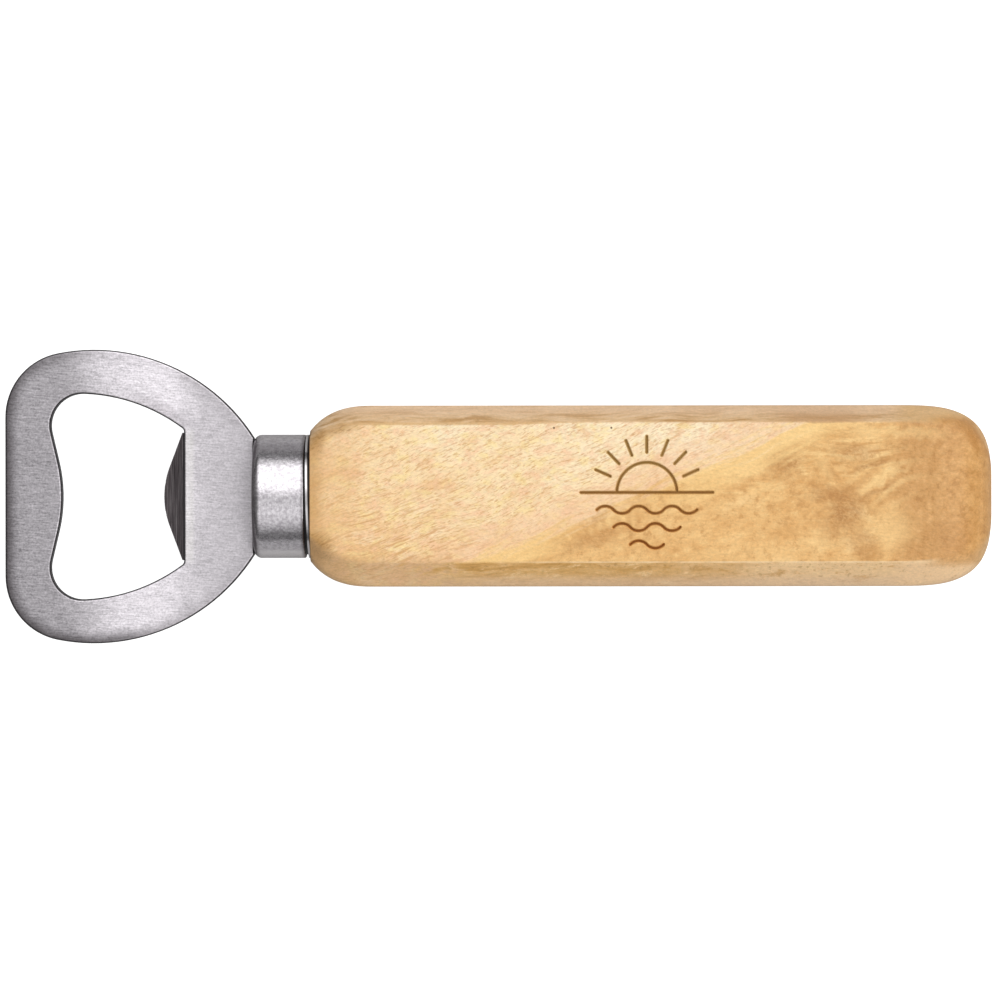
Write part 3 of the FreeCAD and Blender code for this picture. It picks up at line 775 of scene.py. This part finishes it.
def sapwood(t, place, bent, streak):
    """Cream wood, paler towards +Y and the motif, with short dark pores that slant up to the butt."""
    x, y, _ = t.split(place)
    cloud = t.noise(t.grain(bent, 24, 9.0, 3.6), detail=4, roughness=0.6)
    lift = t.math("MULTIPLY_ADD", t.math("SUBTRACT", x, SHOULDER_X), 0.22, y)
    lift = t.math("MULTIPLY_ADD", t.math("SUBTRACT", cloud, 0.5), 34.0, lift)
    colour = t.ramp(
        t.span(lift, -10.0, 20.0, smooth_step=False),
        [
            (0.0, shown(234, 192, 140)),
            (0.25, shown(243, 207, 158)),
            (0.50, shown(248, 219, 174)),
            (0.75, shown(250, 224, 181)),
            (1.0, shown(252, 234, 199)),
        ],
    )
    colour = t.spread(colour, shown(236, 192, 142), streak, 0.46, 0.32, 0.35)
    patchy = t.noise(t.grain(bent, 22, 5.5, 3.0), detail=5, roughness=0.68)
    colour = t.spread(colour, shown(232, 186, 136), patchy, 0.50, 0.34, 0.65)
    colour = t.spread(colour, shown(254, 231, 192), patchy, 0.52, 0.66, 0.65)
    blush = t.noise(t.grain(bent, 10, 2.4, 1.6), detail=3, roughness=0.6)
    colour = t.spread(colour, shown(245, 200, 162), blush, 0.50, 0.68, 0.6)
    colour = t.spread(colour, shown(248, 222, 158), blush, 0.50, 0.34, 0.6)
    fine = t.noise(t.grain(bent, 24, 1.1, 0.22), detail=2, roughness=0.6)
    wide = t.noise(t.grain(bent, 24, 2.0, 0.31), detail=2, roughness=0.6)
    long_pores = t.noise(t.grain(bent, 21, 7.0, 0.38), detail=2, roughness=0.6)
    low = t.span(t.math("MULTIPLY_ADD", x, 0.35, y), -1.0, -10.0)
    pores = t.math("MAXIMUM", t.span(fine, 0.52, 0.70), t.span(wide, 0.55, 0.72, 0.0, 0.9))
    long_share = t.times(t.span(long_pores, 0.52, 0.66), low)
    pores = t.math("MAXIMUM", t.times(pores, 0.62), t.times(long_share, 0.70))
    colour = t.mix(pores, colour, shown(204, 150, 96))
    return colour, pores


def heartwood(t, place, bent):
    """Golden wood with wavy light and dark figure, a small knot and ripples near the butt."""
    x, y, _ = t.split(place)
    broad = t.noise(t.grain(bent, 30, 7.0, 4.0), detail=4, roughness=0.6)
    colour = t.ramp(
        broad,
        [
            (0.30, shown(214, 163, 103)),
            (0.44, shown(229, 181, 120)),
            (0.58, shown(237, 193, 132)),
            (0.74, shown(246, 208, 150)),
        ],
    )
    wave = t.noise(t.grain(bent, 3, 7.0, 0.9), detail=3, roughness=0.6, distortion=0.5)
    wavy = t.span(y, -3.0, 7.0, 0.2, 0.8)
    colour = t.mix(t.times(t.span(wave, 0.50, 0.34), wavy), colour, shown(208, 156, 96))
    colour = t.mix(t.times(t.span(wave, 0.54, 0.70), wavy), colour, shown(250, 214, 152))
    mottle = t.noise(bent, scale=0.75, detail=5, roughness=0.7)
    colour = t.spread(colour, shown(202, 152, 96), mottle, 0.50, 0.32, 0.75)
    colour = t.spread(colour, shown(248, 210, 148), mottle, 0.54, 0.70, 0.50)
    end = t.ramp(
        mottle,
        [
            (0.34, shown(188, 138, 86)),
            (0.46, shown(203, 153, 98)),
            (0.56, shown(209, 159, 104)),
            (0.68, shown(222, 172, 116)),
        ],
    )
    return heart_marks(t, t.spread(colour, end, x, 57.0, 62.0, 0.85), bent, place)


def heart_marks(t, colour, bent, place):
    """Draw the ripples, the pale and dark patches and the knot on the heartwood."""
    ripple_share = patch(t, place, 86.0, 2.6, 6.0, 4.0, 15)
    ripple = t.rings(bent, *RIPPLE, 2.4)
    dark_side = t.times(t.span(ripple, 0.45, 0.0), ripple_share)
    light_side = t.times(t.span(ripple, 0.55, 1.0), ripple_share)
    colour = t.mix(t.times(dark_side, 0.4), colour, shown(208, 158, 102))
    colour = t.mix(t.times(light_side, 0.4), colour, shown(250, 214, 152))
    speck = t.noise(bent, scale=2.2, detail=3, roughness=0.7)
    ragged = t.warp(bent, 0.5, 3)
    pale = t.times(patches(t, ragged, PALE_FIGURE), 0.8)
    colour = t.mix(pale, colour, shown(248, 210, 148))
    veil = t.times(patches(t, ragged, DARK_FIGURE), t.span(speck, 0.34, 0.62, 0.6, 1.0))
    colour = t.mix(veil, colour, shown(180, 128, 78))
    near_knot = t.span(t.distance(bent, *KNOT), 1.0, 6.5, 0.6, 0.0)
    knot = t.times(t.rings(bent, *KNOT, 1.5), near_knot)
    colour = t.mix(t.times(knot, 0.6), colour, shown(202, 148, 92))
    return t.spread(colour, shown(190, 140, 88), speck, 0.58, 0.74, 0.35)


def chamfer_wood(t, place, bent):
    """Rubbed brown wood of the sloping facets in long streaks, paler and pinker towards the sides as a
    painted sheen.
    """
    x, y, z = t.split(place)
    streaks = t.noise(t.grain(bent, 3, 8.0, 0.9), detail=4, roughness=0.65)
    upper = t.ramp(
        streaks,
        [
            (0.34, shown(228, 198, 162, UPPER_LIGHT)),
            (0.50, shown(216, 181, 139, UPPER_LIGHT)),
            (0.62, shown(190, 150, 104, UPPER_LIGHT)),
        ],
    )
    brown = t.times(t.span(x, 40.0, 45.0), t.span(x, 58.0, 51.0, 0.0, 0.75))
    upper = t.mix(brown, upper, shown(190, 148, 106, UPPER_LIGHT))
    lower = t.ramp(
        streaks,
        [
            (0.34, shown(212, 176, 128, LOWER_LIGHT)),
            (0.50, shown(204, 164, 110, LOWER_LIGHT)),
            (0.64, shown(188, 146, 92, LOWER_LIGHT)),
        ],
    )
    ends = t.math("ADD", t.span(x, -14.0, -24.0), t.span(x, 14.0, 40.0))
    lower = t.mix(t.times(ends, 0.7), lower, shown(209, 173, 128, LOWER_LIGHT))
    lower = t.spread(lower, shown(232, 203, 164, LOWER_LIGHT), x, 33.0, 42.0, 0.45)
    cloud = t.noise(t.grain(bent, 5, 2.6, 1.1), detail=5, roughness=0.7)
    lower = t.spread(lower, shown(188, 144, 90, LOWER_LIGHT), cloud, 0.48, 0.32, 0.8)
    lower = t.spread(lower, shown(230, 200, 154, LOWER_LIGHT), cloud, 0.54, 0.70, 0.8)
    dots = t.noise(bent, scale=1.3, detail=3, roughness=0.65)
    lower = t.spread(lower, shown(156, 118, 74, LOWER_LIGHT), dots, 0.56, 0.69, 0.55)
    colour = t.spread(lower, upper, y, -1.0, 1.0)
    # painted pale pink sheen at the outer edges
    outward = t.span(t.math("ABSOLUTE", y), 11.2, 13.4)
    painted_rim = t.times(outward, t.span(z, AXIS_Z + 5, AXIS_Z + 8, 0.0, 0.7))
    colour = t.mix(painted_rim, colour, shown(216, 186, 156, (UPPER_LIGHT + LOWER_LIGHT) / 2))
    butt = t.span(x, 57.5, 62.5, 0.0, 0.8)
    dotted = shown(168, 130, 88, LOWER_LIGHT)
    pink = t.spread(shown(224, 191, 152, LOWER_LIGHT), dotted, dots, 0.56, 0.70, 0.4)
    tip = t.spread(pink, shown(211, 174, 126, UPPER_LIGHT), y, -6.0, 6.0)
    return t.mix(butt, colour, tip)


def side_wood(t, bent):
    """Lengthwise grain of the facets that stand upright or face down, with fine dark lines."""
    streaks = t.noise(t.grain(bent, 2, 11.0, 0.8), detail=4, roughness=0.62)
    colour = t.ramp(
        streaks,
        [
            (0.34, shown(238, 206, 158)),
            (0.48, shown(229, 190, 138)),
            (0.60, shown(212, 168, 114)),
        ],
    )
    lines = t.noise(t.grain(bent, 2, 5.0, 0.2), detail=2, roughness=0.6)
    return t.spread(colour, shown(186, 138, 88), lines, 0.54, 0.70, 0.55)


def ground_wood(t, place, bent, streak):
    """Sapwood and heartwood with a rosy and a glowing strip on either side of where they meet."""
    x, y, _ = t.split(place)
    pale, pores = sapwood(t, place, bent, streak)
    gold = heartwood(t, place, bent)
    over = t.math("SUBTRACT", x, SHOULDER_X + HEART_MIDDLE[0])
    up = t.math("SUBTRACT", y, HEART_MIDDLE[1])
    edge = t.math("MULTIPLY_ADD", up, -math.cos(HEART_LEAN), t.times(over, math.sin(HEART_LEAN)))
    edge = t.math("MULTIPLY_ADD", t.math("SUBTRACT", streak, 0.5), 10.0, edge)
    rose = t.math("SUBTRACT", t.span(edge, -5.5, -1.5), t.span(edge, -1.5, 1.5))
    pale = t.mix(t.times(rose, 0.5), pale, shown(243, 199, 160))
    beside_motif = t.math("ADD", t.span(x, 20.0, 32.0), t.span(x, 14.0, 4.0))
    glow = t.times(t.span(edge, 6.5, 1.0), beside_motif)
    gold = t.mix(t.times(glow, 0.75), gold, shown(249, 211, 146))
    return t.spread(pale, gold, edge, -1.8, 1.8), pores


def shade_front(t, colour, inward, bent, pores):
    """Darken the wood towards the ferrule and in the soft shadows beside it."""
    colour = t.spread(colour, shown(234, 190, 138), inward, 12.0, 2.0, 0.5)
    colour = t.spread(colour, shown(204, 158, 104), inward, 2.8, 0.4, 0.6)
    shadow = patches(t, bent, FRONT_FIGURE)
    colour = t.mix(shadow, colour, shown(186, 144, 94))
    return t.mix(t.times(pores, shadow), colour, shown(138, 98, 60))


def shade_arrises(t, colour, place, inward):
    """Painted shade in a strip just inside the +Y arris of the top facet, and duller painted shade in
    the hollow near the -Y one.
    """
    x, y, z = t.split(place)
    upward = t.span(z, AXIS_Z + 6.5, AXIS_Z + 9.0)
    rise = t.times(t.math("MAXIMUM", t.math("SUBTRACT", inward, 30.0), 0.0), -0.035)
    dip = t.times(t.span(x, 43.5, 47.5, 0.0, 1.45), t.span(x, 58.0, 53.5))
    band = t.span(t.math("ADD", t.math("ADD", rise, dip), y), 10.50, 10.80, 0.0, 0.85)
    # painted shade just inside the +Y arris
    colour = t.mix(t.times(band, upward), colour, shown(210, 170, 119))
    hollow_shade = t.times(t.span(y, -8.2, -10.0, 0.0, 0.4), t.span(inward, 24.0, 18.0))
    return t.mix(t.times(hollow_shade, upward), colour, shown(206, 166, 116))


def chamfer_share(t, place, slope):
    """1 on the upper sloping facets, fading out round the butt and at its corners."""
    x, y, z = t.split(place)
    share = t.times(t.span(slope, 0.15, 0.85), t.span(z, AXIS_Z + 3.0, AXIS_Z + 7.0))
    share = t.times(share, t.span(x, 74.8, 72.0))
    off_middle = t.math("ABSOLUTE", t.math("SUBTRACT", y, 0.7))
    corner = t.times(t.span(x, 63.0, 67.0, 0.0, 0.85), t.span(off_middle, 11.9, 10.3))
    return t.times(share, t.math("SUBTRACT", 1.0, corner))


def arris_highlight(t, place, slope):
    """Share of a painted highlight along the -Y arris of the top facet, broken up lengthwise."""
    x, y, z = t.split(place)
    arris = t.times(t.span(slope, 0.1, 0.5), t.span(slope, 0.9, 0.5))
    arris = t.times(arris, t.span(z, AXIS_Z, AXIS_Z + 8))
    patchy = t.noise(t.join(t.times(x, 0.25), 0.0, 0.0), detail=3)
    arris_highlight_share = t.times(t.span(y, 0.0, -2.0), t.span(patchy, 0.30, 0.60, 0.25, 0.8))
    arris_highlight_share = t.times(arris_highlight_share, t.times(t.span(x, -2.0, 12.0), t.span(x, 68.0, 62.0)))
    return t.times(arris_highlight_share, arris)


def shade_facets(t, colour, place, bent, streak, inward):
    """Give the side and sloping facets their own wood, and paint shade and a highlight along the
    arrises of the top facet.
    """
    _, y, z = t.split(place)
    slope = t.attribute("slope")
    side = t.times(t.span(slope, 0.2, 0.8, 0.0, 0.75), t.span(z, AXIS_Z + 8.0, AXIS_Z + 5.0))
    colour = t.mix(side, colour, side_wood(t, bent))
    front = t.math("MULTIPLY_ADD", t.math("SUBTRACT", streak, 0.5), 34.0, inward)
    rubbed = t.math("MAXIMUM", t.span(front, 12.0, 26.0), t.span(y, -2.0, 2.0))
    under = t.mix(0.35, colour, shown(206, 172, 134, LOWER_LIGHT))
    sloped = t.mix(rubbed, under, chamfer_wood(t, place, bent))
    colour = shade_arrises(t, colour, place, inward)
    colour = t.mix(chamfer_share(t, place, slope), colour, sloped)
    # painted highlight along the -Y arris
    return t.mix(arris_highlight(t, place, slope), colour, shown(250, 222, 178))


def burn_strokes(t, colour, y, burn):
    """Burn the motif in: a dark core inside a paler scorch, both duller towards +Y."""
    upper = t.span(y, -8.0, 8.0)
    ember = t.mix(upper, srgb(132, 74, 6), srgb(150, 116, 58))
    scorch = t.mix(upper, srgb(198, 132, 60), srgb(192, 154, 92))
    colour = t.spread(colour, scorch, burn, 0.05, 0.6, 0.8)
    return t.spread(colour, ember, burn, 0.6, 0.98)


def wood():
    """Pale sapwood and golden heartwood that meet on a slant, rubbed chamfers and burnt strokes."""
    material, t = new_material("oiled_hardwood")
    place = t.place()
    x, y, _ = t.split(place)
    inward = t.math("SUBTRACT", x, SHOULDER_X)
    bent = t.warp(place, 0.07, 1)
    streak = t.noise(t.grain(bent, 25, 20.0, 0.9), detail=4, roughness=0.6)
    colour, pores = ground_wood(t, place, bent, streak)
    colour = shade_front(t, colour, inward, bent, pores)
    colour = shade_facets(t, colour, place, bent, streak, inward)

    grit = t.noise(bent, scale=2.6, detail=3, roughness=0.75)
    grain = t.noise(t.grain(bent, -10, 0.9, 0.26), detail=2, roughness=0.6)
    rough = t.math("MULTIPLY_ADD", grit, 0.40, t.math("MULTIPLY_ADD", grain, 0.34, 0.642))
    colour = t.mix(1.0, colour, rough, "MULTIPLY")
    for centre_x, centre_y in SPECKS:
        spot = t.span(t.distance(place, centre_x, centre_y), 0.22, 0.08)
        colour = t.mix(spot, colour, shown(104, 76, 50))
    # painted shadow where the wood meets the washer, and painted near black shade on the tenon inside
    # the ferrule
    colour = t.spread(colour, srgb(84, 58, 36), inward, 0.16, 0.02, 0.75)
    colour = t.spread(colour, srgb(22, 17, 15), inward, 0.0, -0.15)
    burn = t.attribute("burn")
    colour = burn_strokes(t, colour, y, burn)

    roughness = t.math("MULTIPLY_ADD", grit, 0.16, 0.38)
    roughness = t.math("MULTIPLY_ADD", burn, 0.25, roughness)
    relief = t.math("MULTIPLY_ADD", pores, -0.8, t.times(grit, 0.5))
    t.principled(colour, roughness, t.bump(relief, 0.012), Specular_IOR_Level=0.4)
    return material


# ---------------------------------------------------------------- studio


FLOOR_HALF = 3.0  # metres
FLOOR_DROP = 0.00002  # metres between the opener's underside and the floor, so they don't fight
FLOOR_REFLECTS = 0.45
FLOOR_GLOW = 0.93  # what the camera sees on top of that, with the same white behind the floor

STUDIO_PEAK = 3.5  # brightest light in the studio; the ramps hold shares of it
# Light across the opener: degrees from overhead, negative towards -Y, and the brightness there.
STUDIO_BAND = [
    (-90, 0.16), (-74, 0.18), (-50, 0.85), (-24, 1.05), (-14, 0.76), (7, 0.76),
    (13, 1.9), (54, 1.9), (77, 0.16), (90, 0.12),
]
BUTT_BOX = 2.3  # brightness of the soft box beyond the butt
END_WALLS = 0.03  # colour in front of the head and straight beyond the butt, above the horizon

LENS = 141.65
CAMERA_PLACE = (0.30, -0.60)  # just off the opener's middle
CAMERA_HEIGHT = 600  # above the opener's axis
CAMERA_TURN = math.radians(-0.07)


def make_floor():
    """A plain pale floor, which the camera sees as almost pure white."""
    half = FLOOR_HALF
    z = cad_box[0][2] - FLOOR_DROP
    corners = [(-half, -half, z), (half, -half, z), (half, half, z), (-half, half, z)]
    mesh = bpy.data.meshes.new("floor")
    mesh.from_pydata(corners, [], [(0, 1, 2, 3)])
    floor = bpy.data.objects.new("floor", mesh)
    bpy.context.scene.collection.objects.link(floor)
    material, t = new_material("pale_floor")
    base = t.add("ShaderNodeBsdfDiffuse")
    base.inputs[0].default_value = grey(FLOOR_REFLECTS)
    glow = t.add("ShaderNodeEmission")
    glow.inputs["Color"].default_value = grey(1.0)
    glow.inputs["Strength"].default_value = FLOOR_GLOW
    both = t.add("ShaderNodeAddShader")
    t.links.new(base.outputs[0], both.inputs[0])
    t.links.new(glow.outputs[0], both.inputs[1])
    seen = t.add("ShaderNodeLightPath").outputs["Is Camera Ray"]
    choice = t.add("ShaderNodeMixShader")
    t.links.new(seen, choice.inputs[0])
    t.links.new(base.outputs[0], choice.inputs[1])
    t.links.new(both.outputs[0], choice.inputs[2])
    t.surface(choice.outputs[0])
    mesh.materials.append(material)


def make_world():
    """Studio surroundings: soft boxes on both sides of an overhead scrim and a big one beyond the
    butt, dim in front of the head and dark at the horizon."""
    world = bpy.data.worlds.new("studio")
    bpy.context.scene.world = world
    t = Tree(world)
    direction = t.add("ShaderNodeTexCoord").outputs["Generated"]
    x, y, z = t.split(direction)
    angle = t.times(t.math("ARCTAN2", y, z), 180 / math.pi)
    stops = [((degrees + 90) / 180, grey(value / STUDIO_PEAK)) for degrees, value in STUDIO_BAND]
    band = t.ramp(t.span(angle, -90, 90, smooth_step=False), stops)
    behind = t.times(t.span(x, 0.13, 0.24), t.span(x, 0.86, 0.70))
    behind = t.times(behind, t.span(t.math("ABSOLUTE", y), 0.62, 0.45))
    band = t.mix(behind, band, grey(BUTT_BOX / STUDIO_PEAK))
    front = t.span(x, -0.55, -0.06, 0.16, 1.0)
    ends = t.times(front, t.span(x, 0.9, 0.8))
    up = t.span(z, 0.05, 0.3)
    studio = t.mix(t.times(ends, up), grey(END_WALLS), band)
    light = t.add("ShaderNodeBackground")
    t.feed(light, "Color", studio)
    light.inputs["Strength"].default_value = STUDIO_PEAK
    plain = t.add("ShaderNodeBackground")
    plain.inputs["Color"].default_value = grey(FLOOR_GLOW)
    seen = t.add("ShaderNodeLightPath").outputs["Is Camera Ray"]
    choice = t.add("ShaderNodeMixShader")
    t.links.new(seen, choice.inputs[0])
    t.links.new(light.outputs[0], choice.inputs[1])
    t.links.new(plain.outputs[0], choice.inputs[2])
    output = t.add("ShaderNodeOutputWorld")
    t.links.new(choice.outputs[0], output.inputs["Surface"])


def make_camera():
    """A long lens straight above the opener."""
    data = bpy.data.cameras.new("camera")
    data.sensor_width = 36
    data.lens = LENS
    camera = bpy.data.objects.new("camera", data)
    bpy.context.scene.collection.objects.link(camera)
    camera.location = Vector((*CAMERA_PLACE, AXIS_Z + CAMERA_HEIGHT)) * MM
    camera.rotation_euler = (0, 0, CAMERA_TURN)
    bpy.context.scene.camera = camera


make_camera()
make_floor()
make_world()
dress("opener_head", head_steel())
dress("ferrule", ferrule_steel())
dress("backing_washer", washer_steel())
dress("tang_adhesive", cured_adhesive())
handle = make_handle()
handle.data.materials.append(wood())
bpy.context.scene.view_settings.view_transform = "Standard"
